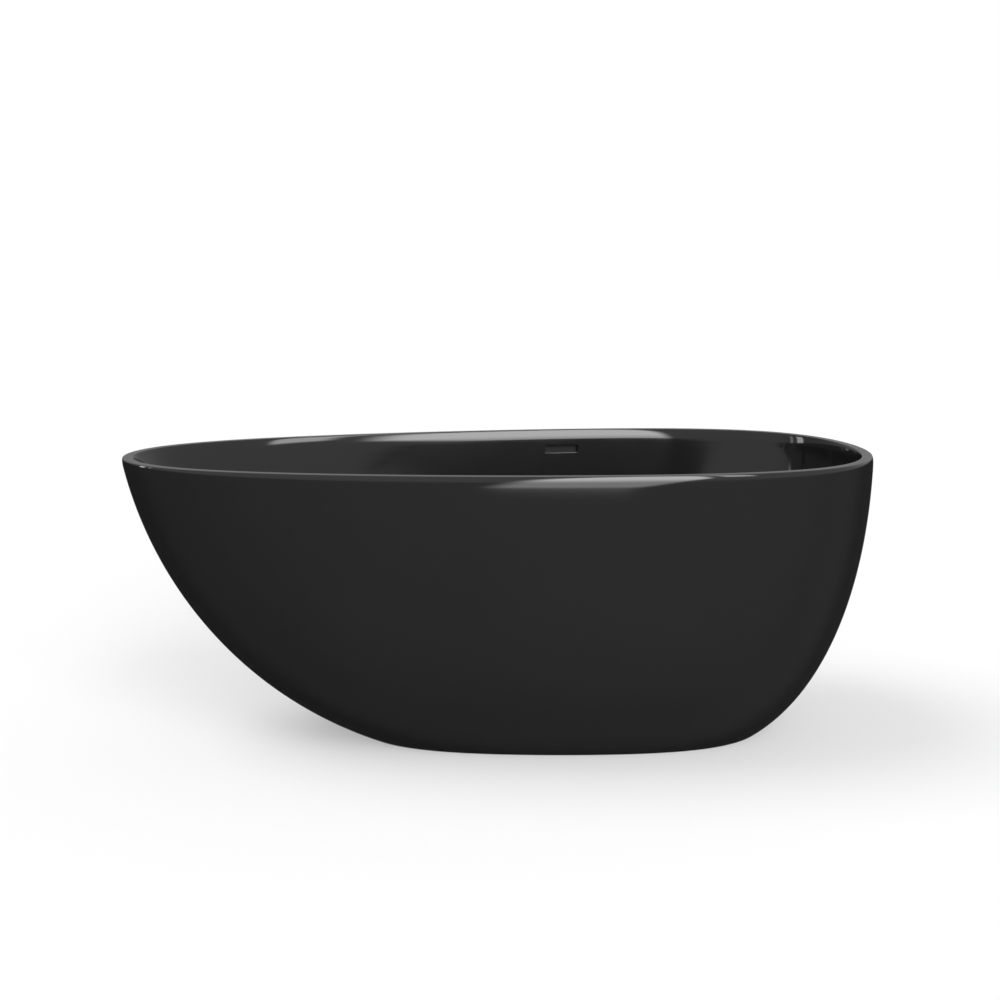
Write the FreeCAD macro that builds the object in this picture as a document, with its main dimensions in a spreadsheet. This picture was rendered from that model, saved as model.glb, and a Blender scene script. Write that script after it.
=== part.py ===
import FreeCAD, Part
import math
import os
import re
import Sketcher
from FreeCAD import Placement, Rotation, Vector

# A freestanding, double-skinned bathtub. Millimetres, +Z up, the floor at z = 0 and the
# origin under the middle of the rim. +X runs to the steep foot end, +Y to the overflow.

SIZES = {
    # whole tub
    "tub_long": 1500, "tub_wide": 750, "tub_high": 580,
    "basin_wall": 6, "skirt_wall": 6, "rim_wide": 25, "rim_thick": 6,
    "crown_tall": 21, "crown_deep": 3.2, "lip_deep": 28, "seam_gap": 0.3, "flange_wide": 30, "flange_thick": 5,
    "floor_level": 130,
    # overflow slot, housing and hose
    "slot_wide": 75, "slot_tall": 16, "slot_drop": 43,
    "housing_deep": 9.5, "housing_wall": 1.5, "housing_side": 7, "housing_above": 8,
    "housing_below": 30, "slot_gasket": 1.5, "chute_tall": 145, "chute_half": 13,
    "spout_tall": 56,
    "hose_rad": 11, "hose_wall": 2, "hose_slack": 0.2, "spigot_wall": 2,
    "hose_under": 43, "hose_bend_under": 30, "hose_bend_over": 15,
    "hose_outer_share": 0.653, "hose_mid_share": 0.48, "hose_inner_share": 0.3,
    "clamp_thick": 1.2, "clamp_wide": 9, "clamp_gap": 0.1, "clamp_ear": 7,
    # drain, turned about an upright axis through the basin floor
    "drain_along": 174, "drain_hole": 26, "drain_rim_rad": 35, "drain_rim_thick": 3,
    "throat_rad": 22.5, "throat_wall": 2.5, "throat_deep": 31, "seal_thick": 1,
    "hub_rad": 12, "hub_bore": 8.2, "hub_low": 26, "hub_high": 20, "web_thick": 3,
    "gasket_thick": 3, "body_flange_rad": 42, "body_flange_thick": 4, "body_rad": 31,
    "body_clear": 0.3, "chamber_rad": 27, "chamber_top": 32, "chamber_low": 54,
    "body_low": 58, "neck_rad": 22, "neck_bore": 19.3, "neck_low": 80, "inlet_rad": 16,
    "inlet_reach": 44, "spigot_reach": 62,
    "tail_rad": 19, "tail_wall": 1.5, "tail_top": 66, "tail_step": 42, "tail_low": 12,
    "tail_neck": 18.7,
    "nut_rad": 27, "nut_top": 62, "nut_low": 44, "nut_lip": 3, "washer_thick": 3,
    "fit_gap": 0.2,
    # click plug
    "cap_rad": 31, "cap_thick": 4, "cap_lift": 1.5, "boss_rad": 21, "boss_deep": 9.5,
    "ring_thick": 1.45, "ring_clear": 0.1, "ring_level": 5, "stem_rad": 4,
    "stem_clear": 0.05, "stem_low": 34, "barrel_rad": 8, "barrel_top": 12,
    "barrel_low": 38, "barrel_floor": 2, "collar_thick": 2,
    "spring_rad": 6, "spring_wire": 0.5, "spring_gap": 0.2, "spring_turns": 4,
    # base board and crossbars
    "board_left": -180, "board_right": 430, "board_half": 120, "board_thick": 15,
    "board_round": 40, "board_hole": 55,
    "bar_wide": 30, "bar_wall": 2, "bar_head_at": -120, "bar_mid_at": 40,
    "bar_foot_at": 410, "bar_head_half": 105, "bar_mid_half": 105, "bar_foot_half": 118,
    "screw_rad": 2.5, "screw_clear": 0.1, "screw_head": 5, "screw_head_tall": 3,
    "screw_bite": 11, "screw_inset": 10, "mid_screw_at": 60,
    # brackets from the crossbars to the foot flange of the skirt
    "bracket_thick": 3, "bracket_wide": 26, "bracket_foot": 26, "bracket_top_gap": 4,
    "bolt_rad": 3, "bolt_clear": 0.1, "bolt_head": 5.5, "bolt_head_tall": 4,
    "bolt_long": 12,
    # levelling feet
    "head_feet_at": 50, "foot_feet_at": 66, "stud_rad": 5, "stud_clear": 0.05,
    "stud_low": 4, "stud_top_gap": 12, "collar_rad": 8.5, "collar_tall": 6,
    "pad_rad": 20, "pad_thick": 7, "pad_edge": 1.5, "pad_boss": 10, "pad_boss_tall": 6,
    "pad_gap": 0.3, "weld_nut_rad": 9.5, "weld_nut_tall": 8, "lock_nut_tall": 6,
}
# Control rings of the outside, bottom to top: how far each reaches to the left, to the
# right and sideways and how high it sits, as shares of half the length, half the width
# and the height, and then the three numbers that bend the oval into an egg.
OUTER_RINGS = (
    (0.3693, 0.7280, 0.5333, 0.0000, 0.0780, 0.0600, 0.0000),
    (0.7035, 0.9083, 0.8568, 0.1734, 0.0917, 0.0525, -0.0136),
    (0.9348, 1.0025, 0.9907, 0.5550, 0.1050, 0.0450, -0.0272),
    (1.0000, 1.0000, 1.0000, 1.0000, 0.1190, 0.0376, -0.0408),
)
# The same for the basin, from the edge of its flat floor up; heights run from the floor
# to the rim, and the top ring follows the rim at the rim's width.
BASIN_RINGS = (
    (0.2667, 0.5867, 0.4000, 0.0000, 0.0800, 0.0600, 0.0000),
    (0.5333, 0.8000, 0.6987, 0.0000, 0.0900, 0.0500, -0.0100),
    (0.8560, 0.9635, 0.8970, 0.4444, 0.1050, 0.0450, -0.0270),
)
RING_POINTS = 64
# Each ring's skin is made as this many faces side by side.
SECTORS = 4
# How far along its side a quarter circle's control points sit.
CIRCLE_SHARE = 0.5523

doc = FreeCAD.newDocument("bathtub")
sheet = doc.addObject("Spreadsheet::Sheet", "Sheet")
for row, (alias, number) in enumerate(SIZES.items(), start=1):
    sheet.set(f"A{row}", str(number))
    sheet.setAlias(f"A{row}", alias)
doc.recompute()


def ref(text):
    """The expression with every size in it pointed at the sheet."""
    return re.sub(r"[a-z]\w*", lambda word: "Sheet." + word.group(0), text)


def val(alias):
    """A size read back from the sheet."""
    return float(sheet.get(alias))


# ---------------------------------------------------------------- curved skins
def ring(shares, level, out=0.0, count=RING_POINTS):
    """Points of one egg-shaped control ring, moved outwards by out."""
    left, right, side, _, lean, third, square = shares
    half = val("tub_long") / 2
    middle, reach = half * (right - left) / 2, half * (right + left) / 2
    turns = [math.tau * i / 720 for i in range(361)]
    top = max(math.sin(a) + lean * math.sin(2 * a) + third * math.sin(3 * a) for a in turns)
    wide = side * val("tub_wide") / 2 / top
    points = []
    for i in range(count):
        a = math.tau * i / count
        x = middle + reach * (math.cos(a) + square * math.cos(3 * a)) / (1 + square)
        y = wide * (math.sin(a) + lean * math.sin(2 * a) + third * math.sin(3 * a))
        dx = -reach * (math.sin(a) + 3 * square * math.sin(3 * a)) / (1 + square)
        dy = wide * (math.cos(a) + 2 * lean * math.cos(2 * a) + 3 * third * math.cos(3 * a))
        run = math.hypot(dx, dy)
        points.append(Vector(x + out * dy / run, y - out * dx / run, level))
    return points


def outer_rows(out, count=RING_POINTS):
    return [ring(shares, shares[3] * val("tub_high"), out, count) for shares in OUTER_RINGS]


def basin_rows(out, count=RING_POINTS):
    low = val("floor_level")
    rise = val("tub_high") - low
    sunk = max(out, 0.0)
    rows = [ring(shares, low - sunk + shares[3] * rise, out, count) for shares in BASIN_RINGS]
    return rows + [ring(OUTER_RINGS[-1], val("tub_high"), out - val("rim_wide"), count)]


def crowned(rows, inward):
    """The rows up to the start of the rim's soft crown, and three more rows for it."""
    top = val("tub_high")
    start = top - val("crown_tall")
    low, high = 0.0, 1.0
    for _ in range(40):
        v = (low + high) / 2
        if bezier(*(row[0].z for row in rows), v) < start:
            low = v
        else:
            high = v
    lower, crown = [[], [], []], [[], [], [], []]
    rim = ring(OUTER_RINGS[-1], top, inward[0]), ring(OUTER_RINGS[-1], top, inward[1])
    for a, b, c, d, late, last in zip(*rows, *rim):
        one, two, three = a + (b - a) * v, b + (c - b) * v, c + (d - c) * v
        four, five = one + (two - one) * v, two + (three - two) * v
        joint = four + (five - four) * v
        rise = (five - four) * (CIRCLE_SHARE * val("crown_tall") / (five.z - four.z))
        for row, point in zip(lower, (a, one, four)):
            row.append(point)
        for row, point in zip(crown, (joint, joint + rise, late, last)):
            row.append(point)
    return lower + crown


def skin_solid(rows):
    """A closed solid: side faces for every four control rings in turn, and flat ends."""
    params = [i / len(rows[0]) for i in range(len(rows[0]) + 1)]
    curves = []
    for points in rows:
        curve = Part.BSplineCurve()
        curve.interpolate(Points=points, PeriodicFlag=True, Parameters=params)
        curves.append(curve)
    faces = []
    for start in range(0, len(curves) - 1, 3):
        span = curves[start:start + 4]
        poles = [[curve.getPole(i) for curve in span] for i in range(1, span[0].NbPoles + 1)]
        for sector in range(SECTORS):
            side = Part.BSplineSurface()
            side.buildFromPolesMultsKnots(
                poles, span[0].getMultiplicities(), [4, 4], span[0].getKnots(), [0, 1],
                True, False, 3, 3,
            )
            side.segment(sector / SECTORS, (sector + 1) / SECTORS, 0, 1)
            faces.append(side.toShape())
    for curve in (curves[0], curves[-1]):
        arcs = [curve.toShape(i / SECTORS, (i + 1) / SECTORS) for i in range(SECTORS)]
        faces.append(Part.Face(Part.Wire(arcs)))
    shell = Part.makeShell(faces)
    shell.sewShape()
    return Part.makeSolid(shell)


def bezier(a, b, c, d, v):
    u = 1 - v
    return a * u**3 + b * 3 * u * u * v + c * 3 * u * v * v + d * v**3


def wall_y(rows, x, z):
    """How far out the +Y side of a skin is at x and height z."""
    low, high = 0.0, 1.0
    for _ in range(40):
        v = (low + high) / 2
        if bezier(*(row[0].z for row in rows), v) < z:
            low = v
        else:
            high = v
    line = [bezier(*column, v) for column in zip(*rows)]
    for one, two in zip(line, line[1:]):
        if one.y >= 0 and two.x <= x <= one.x:
            share = (one.x - x) / (one.x - two.x)
            return one.y + share * (two.y - one.y)
    raise ValueError("no wall at this place")


# ---------------------------------------------------------------- building blocks
def feature(name, shape):
    made = doc.addObject("Part::Feature", name)
    made.Shape = shape
    return made


def place(made, x="0", y="0", z="0"):
    for letter, text in zip("xyz", (x, y, z)):
        made.setExpression("Placement.Base." + letter, ref(text))
    return made


def prim(kind, name, sizes, at, turn=None):
    """A Part primitive with its sizes and position bound to the sheet."""
    made = doc.addObject("Part::" + kind, name)
    if turn:
        made.Placement = Placement(Vector(), turn)
    for prop, text in sizes.items():
        made.setExpression(prop, ref(text))
    return place(made, *at)


def cut(name, base, tool):
    made = doc.addObject("Part::Cut", name)
    made.Base, made.Tool = base, tool
    return made


def fuse(name, members):
    made = doc.addObject("Part::MultiFuse", name)
    made.Shapes = members
    return made


def common(name, members):
    made = doc.addObject("Part::MultiCommon", name)
    made.Shapes = members
    return made


def group(name, members):
    made = doc.addObject("Part::Compound", name)
    made.Links = members
    return made


def polygon(body, name, role, corners):
    """A closed sketch on one of the body's planes, every corner bound to the sheet."""
    sketch = body.newObject("Sketcher::SketchObject", name)
    plane = next(part for part in body.Origin.OriginFeatures if part.Role == role)
    sketch.AttachmentSupport = [(plane, "")]
    sketch.MapMode = "FlatFace"
    count = len(corners)
    start = [
        Vector(20 * math.cos(math.tau * i / count), 20 * math.sin(math.tau * i / count), 0)
        for i in range(count)
    ]
    for i in range(count):
        sketch.addGeometry(Part.LineSegment(start[i], start[(i + 1) % count]), False)
    for i in range(count):
        sketch.addConstraint(Sketcher.Constraint("Coincident", i, 2, (i + 1) % count, 1))
    for i, corner in enumerate(corners):
        for kind, first, text in zip(("DistanceX", "DistanceY"), start[i], corner):
            at = sketch.addConstraint(Sketcher.Constraint(kind, -1, 1, i, 1, first))
            sketch.setExpression(f"Constraints[{at}]", ref(text))
    return sketch


def turned(name, corners, x="0", y="0"):
    """A body of revolution about an upright axis, from (radius, height) corners."""
    body = doc.addObject("PartDesign::Body", name)
    sketch = polygon(body, name + "_profile", "XZ_Plane", corners)
    turn = body.newObject("PartDesign::Revolution", name + "_turn")
    turn.Profile = sketch
    turn.ReferenceAxis = (sketch, ["V_Axis"])
    turn.Angle = 360
    sketch.Visibility = False
    return place(body, x, y)


def pushed(name, role, corners, length, at, midplane=False):
    """A body pushed out of a closed outline."""
    body = doc.addObject("PartDesign::Body", name)
    sketch = polygon(body, name + "_outline", role, corners)
    pad = body.newObject("PartDesign::Pad", name + "_pad")
    pad.Profile = sketch
    pad.Midplane = midplane
    pad.setExpression("Length", ref(length))
    sketch.Visibility = False
    return place(body, *at)


PARTS = []


def keep(made, name):
    made.Label = name
    PARTS.append(made)
    return made


# ---------------------------------------------------------------- basin and skirt
deep = val("crown_deep")
late = deep * (1 - CIRCLE_SHARE)
edge_in = (-late, -deep)
edge_out = (late - val("rim_wide"), deep - val("rim_wide"))
outside = feature("outside_form", skin_solid(crowned(outer_rows(0), edge_in)))
lining = feature("lining_form", skin_solid(outer_rows(-val("skirt_wall"))))
hollow = feature("hollow_form", skin_solid(crowned(basin_rows(0), edge_out)))
bowl = feature("bowl_form", skin_solid(basin_rows(val("basin_wall"))))


def band(name, low, tall):
    """A slab wider than the tub between two heights, to take a slice of a form."""
    sizes = {"Length": "tub_long * 2", "Width": "tub_wide * 2", "Height": tall}
    return prim("Box", name, sizes, ("-tub_long", "-tub_wide", low))


rim_slab = common("rim_slab", [outside, band("rim_band", "tub_high - rim_thick", "rim_thick * 2")])
lip_band = band("lip_band", "tub_high - lip_deep", "lip_deep * 2")
rim_lip = cut("rim_lip", common("lip_slab", [outside, lip_band]), lining)
basin_solid = fuse("basin_solid", [bowl, rim_slab, rim_lip])
basin_open = cut("basin_open", basin_solid, hollow)
drain_hole = prim(
    "Cylinder", "drain_hole_tool",
    {"Radius": "drain_hole", "Height": "floor_level"},
    ("drain_along", "0", "floor_level / 2"),
)
slot_tool = prim(
    "Box", "slot_tool",
    {"Length": "slot_wide", "Width": "tub_wide / 2 - rim_wide", "Height": "slot_tall"},
    ("drain_along - slot_wide / 2", "rim_wide", "tub_high - slot_drop - slot_tall / 2"),
)
keep(cut("basin", basin_open, fuse("basin_tools", [drain_hole, slot_tool])), "basin_shell")

skirt_top = band("skirt_band", "0", "tub_high - lip_deep - seam_gap")
skirt_wall = cut("skirt_wall_form", common("skirt_slice", [outside, skirt_top]), lining)
flange_hole = feature("flange_hole_form", skin_solid(outer_rows(-val("flange_wide"))))
flange_slab = common("flange_slab", [outside, band("flange_band", "0", "flange_thick")])
skirt_flange = cut("skirt_flange", flange_slab, flange_hole)
keep(fuse("skirt", [skirt_wall, skirt_flange]), "outer_skirt")

# ---------------------------------------------------------------- base board and crossbars
BOARD_TOP = "(floor_level - basin_wall)"
BAR_TOP = "(floor_level - basin_wall - board_thick)"
BAR_LOW = "(floor_level - basin_wall - board_thick - bar_wide)"

board = pushed(
    "board", "XY_Plane",
    [
        ("board_left", "-board_half"), ("board_right", "-board_half"),
        ("board_right", "board_half"), ("board_left", "board_half"),
    ],
    "board_thick", ("0", "0", BAR_TOP),
)
doc.recompute()
board_pad = board.Tip
board_corners = [
    f"Edge{i}"
    for i, edge in enumerate(board_pad.Shape.Edges, start=1)
    if edge.BoundBox.ZLength > 1
]
round_off = board.newObject("PartDesign::Fillet", "board_round_off")
round_off.Base = (board_pad, board_corners)
round_off.setExpression("Radius", "Sheet.board_round")
board_tools = [
    prim(
        "Cylinder", "board_drain_tool",
        {"Radius": "board_hole", "Height": "board_thick * 3"},
        ("drain_along", "0", BAR_TOP + " - board_thick"),
    )
]

BARS = (
    ("head", "bar_head_at", "bar_head_half", "bar_head_half - screw_inset"),
    ("middle", "bar_mid_at", "bar_mid_half", "mid_screw_at"),
    ("foot", "bar_foot_at", "bar_foot_half", "bar_foot_half - screw_inset"),
)
FEET = (
    ("1", "bar_head_at", "-head_feet_at"), ("2", "bar_head_at", "head_feet_at"),
    ("3", "bar_foot_at", "-foot_feet_at"), ("4", "bar_foot_at", "foot_feet_at"),
    ("5", "bar_mid_at", "0"),
)
screws = []
bar_tools = {"head": [], "middle": [], "foot": []}
for word, along, half, screw_at in BARS:
    for side in ("-", ""):
        tag = word + ("_near" if side else "_far")
        across = f"{side}({screw_at})"
        shank = prim(
            "Cylinder", "screw_shank_" + tag,
            {"Radius": "screw_rad", "Height": "bar_wide + screw_bite + screw_head_tall / 2"},
            (along, across, BAR_LOW + " - screw_head_tall / 2"),
        )
        head = prim(
            "Prism", "screw_head_" + tag,
            {"Circumradius": "screw_head", "Height": "screw_head_tall"},
            (along, across, BAR_LOW + " - screw_head_tall"),
        )
        screws.append(fuse("screw_" + tag, [shank, head]))
        hole = prim(
            "Cylinder", "screw_hole_" + tag,
            {"Radius": "screw_rad + screw_clear", "Height": "bar_wide + screw_bite + 2"},
            (along, across, BAR_LOW + " - 1"),
        )
        bar_tools[word].append(hole)
        board_tools.append(hole)
for number, along, across in FEET:
    word = next(bar[0] for bar in BARS if bar[1] == along)
    bar_tools[word].append(
        prim(
            "Cylinder", "stud_hole_" + number,
            {"Radius": "stud_rad + stud_clear", "Height": "bar_wall * 2"},
            (along, across, BAR_LOW + " - bar_wall / 2"),
        )
    )

# ---------------------------------------------------------------- brackets
brackets, bolts = [], []
for word, along, half, direction in (
    ("head", "bar_head_at", "bar_head_half", -1),
    ("foot", "bar_foot_at", "bar_foot_half", -1),
):
    face = f"{along} + {direction} * bar_wide / 2"
    for side in ("-", ""):
        tag = word + ("_near" if side else "_far")
        middle = f"{side}({half} - bracket_wide / 2)"
        leg = pushed(
            "bracket_form_" + tag, "XZ_Plane",
            [
                ("0", "flange_thick"), ("-bracket_foot", "flange_thick"),
                ("-bracket_foot", "flange_thick + bracket_thick"),
                ("-bracket_thick", "flange_thick + bracket_thick"),
                ("-bracket_thick", BAR_TOP + " - bracket_top_gap"),
                ("0", BAR_TOP + " - bracket_top_gap"),
            ],
            "bracket_wide", (face, middle, "0"), midplane=True,
        )
        level = BAR_TOP + " - bar_wide / 2"
        across = Rotation(Vector(0, 1, 0), 90)
        bolt_hole = prim(
            "Cylinder", "bolt_hole_" + tag,
            {"Radius": "bolt_rad + bolt_clear", "Height": "bolt_long"},
            (f"{face} - bracket_thick - 1", middle, level), across,
        )
        brackets.append(cut("bracket_" + tag, leg, bolt_hole))
        bar_tools[word].append(bolt_hole)
        shank = prim(
            "Cylinder", "bolt_shank_" + tag,
            {"Radius": "bolt_rad", "Height": "bolt_long - 1"},
            (f"{face} - bracket_thick - 1", middle, level), across,
        )
        head = prim(
            "Prism", "bolt_head_" + tag,
            {"Circumradius": "bolt_head", "Height": "bolt_head_tall"},
            (f"{face} - bracket_thick - bolt_head_tall", middle, level), across,
        )
        bolts.append(fuse("bolt_" + tag, [shank, head]))

keep(cut("board_cut", board, fuse("board_tools", board_tools)), "base_board")
for word, along, half, _ in BARS:
    tube = prim(
        "Box", f"bar_{word}_tube",
        {"Length": "bar_wide", "Width": f"{half} * 2", "Height": "bar_wide"},
        (f"{along} - bar_wide / 2", f"-{half}", BAR_LOW),
    )
    bore = prim(
        "Box", f"bar_{word}_bore",
        {"Length": "bar_wide - bar_wall * 2", "Width": f"{half} * 2 + 2",
         "Height": "bar_wide - bar_wall * 2"},
        (f"{along} - bar_wide / 2 + bar_wall", f"-{half} - 1", BAR_LOW + " + bar_wall"),
    )
    tools = fuse(f"bar_{word}_tools", [bore] + bar_tools[word])
    keep(cut("bar_" + word, tube, tools), "crossbar_" + word)
keep(group("screw_set", screws), "crossbar_screws")
keep(group("bracket_set", brackets), "skirt_brackets")
keep(group("bolt_set", bolts), "bracket_bolts")

# ---------------------------------------------------------------- levelling feet
weld_nuts, lock_nuts = [], []
for number, along, across in FEET:
    nut_low = BAR_LOW + " - weld_nut_tall"
    lock_low = nut_low + " - lock_nut_tall"
    hole = prim(
        "Cylinder", "nut_hole_" + number,
        {"Radius": "stud_rad + stud_clear", "Height": "weld_nut_tall + lock_nut_tall + 2"},
        (along, across, lock_low + " - 1"),
    )
    for kind, nuts, low, tall in (
        ("weld", weld_nuts, nut_low, "weld_nut_tall"), ("lock", lock_nuts, lock_low, "lock_nut_tall"),
    ):
        block = prim(
            "Prism", f"{kind}_nut_form_{number}",
            {"Circumradius": "weld_nut_rad", "Height": tall}, (along, across, low),
        )
        nuts.append(cut(f"{kind}_nut_{number}", block, hole))
    boss_top = "pad_thick + pad_boss_tall"
    keep(
        turned(
            "pad_" + number,
            [
                ("0", "0"), ("pad_rad - pad_edge", "0"), ("pad_rad", "pad_edge"),
                ("pad_rad", "pad_thick - pad_edge"), ("pad_rad - pad_edge", "pad_thick"),
                ("pad_boss", "pad_thick"), ("pad_boss", boss_top),
                ("stud_rad + stud_clear", boss_top),
                ("stud_rad + stud_clear", "stud_low - pad_gap"), ("0", "stud_low - pad_gap"),
            ],
            along, across,
        ),
        "foot_pad_" + number,
    )
    rod = prim(
        "Cylinder", "stud_rod_" + number,
        {"Radius": "stud_rad", "Height": f"{BAR_TOP} - stud_top_gap - stud_low"},
        (along, across, "stud_low"),
    )
    collar = prim(
        "Prism", "stud_collar_" + number,
        {"Circumradius": "collar_rad", "Height": "collar_tall"},
        (along, across, boss_top + " + pad_gap"),
    )
    keep(fuse("stud_" + number, [rod, collar]), "foot_stud_" + number)
keep(group("weld_nut_set", weld_nuts), "foot_weld_nuts")
keep(group("lock_nut_set", lock_nuts), "foot_lock_nuts")

# ---------------------------------------------------------------- drain
RIM_TOP = "(floor_level + seal_thick + drain_rim_thick)"
THROAT_OUT = "(throat_rad + throat_wall)"
flange_turn = turned(
    "flange_form",
    [
        ("throat_rad", RIM_TOP), ("drain_rim_rad - drain_rim_thick / 2", RIM_TOP),
        ("drain_rim_rad", "floor_level + seal_thick + drain_rim_thick / 2"),
        ("drain_rim_rad", "floor_level + seal_thick"),
        (THROAT_OUT, "floor_level + seal_thick"), (THROAT_OUT, "floor_level - throat_deep"),
        ("throat_rad", "floor_level - throat_deep"),
    ],
    "drain_along",
)
hub = prim(
    "Cylinder", "hub_form", {"Radius": "hub_rad", "Height": "hub_low - hub_high"},
    ("drain_along", "0", "floor_level - hub_low"),
)
webs = [
    prim(
        "Box", "web_along",
        {"Length": "throat_rad * 2 + throat_wall", "Width": "web_thick",
         "Height": "hub_low - hub_high"},
        ("drain_along - throat_rad - throat_wall / 2", "-web_thick / 2", "floor_level - hub_low"),
    ),
    prim(
        "Box", "web_across",
        {"Length": "web_thick", "Width": "throat_rad * 2 + throat_wall",
         "Height": "hub_low - hub_high"},
        ("drain_along - web_thick / 2", "-throat_rad - throat_wall / 2", "floor_level - hub_low"),
    ),
]
hub_hole = prim(
    "Cylinder", "hub_hole", {"Radius": "hub_bore", "Height": "hub_low"},
    ("drain_along", "0", "floor_level - hub_low - 1"),
)
flange_solid = fuse("flange_solid", [flange_turn, hub] + webs)
keep(cut("flange", flange_solid, hub_hole), "drain_flange")
keep(
    turned(
        "flange_seal",
        [
            ("drain_hole", "floor_level"), ("drain_rim_rad - 1", "floor_level"),
            ("drain_rim_rad - 1", "floor_level + seal_thick"),
            ("drain_hole", "floor_level + seal_thick"),
        ],
        "drain_along",
    ),
    "drain_flange_seal",
)
GASKET_LOW = "(floor_level - basin_wall - gasket_thick)"
keep(
    turned(
        "under_gasket",
        [
            ("drain_hole", GASKET_LOW), ("body_flange_rad", GASKET_LOW),
            ("body_flange_rad", BOARD_TOP), ("drain_hole", BOARD_TOP),
        ],
        "drain_along",
    ),
    "drain_gasket",
)
BODY_BORE = "(throat_rad + throat_wall + body_clear)"
FLANGE_LOW = "(floor_level - basin_wall - gasket_thick - body_flange_thick)"
body_turn = turned(
    "body_form",
    [
        (BODY_BORE, GASKET_LOW), ("body_flange_rad", GASKET_LOW),
        ("body_flange_rad", FLANGE_LOW), ("body_rad", FLANGE_LOW),
        ("body_rad", "floor_level - body_low"), ("neck_rad", "floor_level - body_low"),
        ("neck_rad", "floor_level - neck_low"), ("neck_bore", "floor_level - neck_low"),
        ("neck_bore", "floor_level - body_low + 2"),
        ("chamber_rad", "floor_level - chamber_low + 2"),
        ("chamber_rad", "floor_level - chamber_top - 2"), (BODY_BORE, "floor_level - chamber_top"),
    ],
    "drain_along",
)
SIDEWAYS = Rotation(Vector(1, 0, 0), -90)
INLET_AT = ("drain_along", "chamber_rad + 1", "floor_level - hose_under")
inlet = prim(
    "Cylinder", "inlet_form", {"Radius": "inlet_rad", "Height": "inlet_reach - chamber_rad - 1"},
    INLET_AT, SIDEWAYS,
)
spigot = prim(
    "Cylinder", "spigot_form",
    {"Radius": "hose_rad - hose_wall - hose_slack", "Height": "spigot_reach - chamber_rad - 1"},
    INLET_AT, SIDEWAYS,
)
inlet_bore = prim(
    "Cylinder", "inlet_bore",
    {"Radius": "hose_rad - hose_wall - hose_slack - spigot_wall",
     "Height": "spigot_reach - chamber_rad + 6"},
    ("drain_along", "chamber_rad - 5", "floor_level - hose_under"), SIDEWAYS,
)
body_solid = fuse("body_solid", [body_turn, inlet, spigot])
keep(cut("body_cut", body_solid, inlet_bore), "drain_body")
NECK_LOW = "(floor_level - neck_low)"
keep(
    turned(
        "washer",
        [
            ("tail_rad + fit_gap", NECK_LOW + " - washer_thick"),
            ("neck_rad - fit_gap", NECK_LOW + " - washer_thick"),
            ("neck_rad - fit_gap", NECK_LOW), ("tail_rad + fit_gap", NECK_LOW),
        ],
        "drain_along",
    ),
    "outlet_washer",
)
nut_blank = prim(
    "Prism", "slip_nut_blank",
    {"Circumradius": "nut_rad", "Height": "nut_top - nut_low"}, ("drain_along", "0", "nut_low"),
)
nut_blank.Polygon = 8
nut_bore = prim(
    "Cylinder", "slip_nut_bore", {"Radius": "neck_rad + fit_gap", "Height": "nut_top - nut_low"},
    ("drain_along", "0", "nut_low + nut_lip"),
)
nut_exit = prim(
    "Cylinder", "slip_nut_exit", {"Radius": "tail_rad + fit_gap", "Height": "nut_low"},
    ("drain_along", "0", "nut_low - 1"),
)
keep(cut("slip_nut", nut_blank, fuse("slip_nut_tools", [nut_bore, nut_exit])), "outlet_slip_nut")
keep(
    turned(
        "tailpiece",
        [
            ("tail_rad - tail_wall", "tail_low"), ("tail_rad", "tail_low"),
            ("tail_rad", "tail_step"), ("tail_neck", "tail_step"),
            ("tail_neck", "tail_top"), ("tail_rad - tail_wall", "tail_top"),
        ],
        "drain_along",
    ),
    "drain_tailpiece",
)

# ---------------------------------------------------------------- click plug
CAP_LOW = f"({RIM_TOP} + cap_lift)"
BOSS_LOW = f"({CAP_LOW} - boss_deep)"
RING_MID = f"({BOSS_LOW} + ring_level)"
RING_OUT = "(throat_rad - ring_clear)"
RING_IN = "(throat_rad - ring_clear - ring_thick * 2)"
keep(
    turned(
        "plug_cap_form",
        [
            ("stem_rad", BOSS_LOW), ("boss_rad", BOSS_LOW),
            ("boss_rad", f"{RING_MID} - ring_thick"), (RING_IN, f"{RING_MID} - ring_thick"),
            (RING_IN, f"{RING_MID} + ring_thick"), ("boss_rad", f"{RING_MID} + ring_thick"),
            ("boss_rad", CAP_LOW), ("cap_rad - 1", CAP_LOW), ("cap_rad", f"{CAP_LOW} + 1"),
            ("cap_rad - 3", f"{CAP_LOW} + cap_thick - 1"), ("cap_rad / 2", f"{CAP_LOW} + cap_thick"),
            ("0", f"{CAP_LOW} + cap_thick"), ("0", f"{CAP_LOW} - 1"), ("stem_rad", f"{CAP_LOW} - 1"),
        ],
        "drain_along",
    ),
    "plug_cap",
)
keep(
    prim(
        "Torus", "plug_ring",
        {"Radius1": "throat_rad - ring_clear - ring_thick", "Radius2": "ring_thick"},
        ("drain_along", "0", RING_MID),
    ),
    "plug_seal",
)
keep(
    prim(
        "Cylinder", "stem_form",
        {"Radius": "stem_rad", "Height": f"{CAP_LOW} - 1 - floor_level + stem_low"},
        ("drain_along", "0", "floor_level - stem_low"),
    ),
    "plug_stem",
)
STEM_BORE = "(stem_rad + stem_clear)"
keep(
    turned(
        "cartridge",
        [
            ("0", "floor_level - barrel_low"), ("barrel_rad", "floor_level - barrel_low"),
            ("barrel_rad", "floor_level - hub_high"), ("hub_rad", "floor_level - hub_high"),
            ("hub_rad", "floor_level - hub_high + collar_thick"),
            ("barrel_rad - 1", "floor_level - hub_high + collar_thick"),
            ("barrel_rad - 1", "floor_level - barrel_top"), (STEM_BORE, "floor_level - barrel_top"),
            (STEM_BORE, "floor_level - barrel_low + barrel_floor"),
            ("0", "floor_level - barrel_low + barrel_floor"),
        ],
        "drain_along",
    ),
    "plug_cartridge",
)
doc.recompute()

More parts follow.
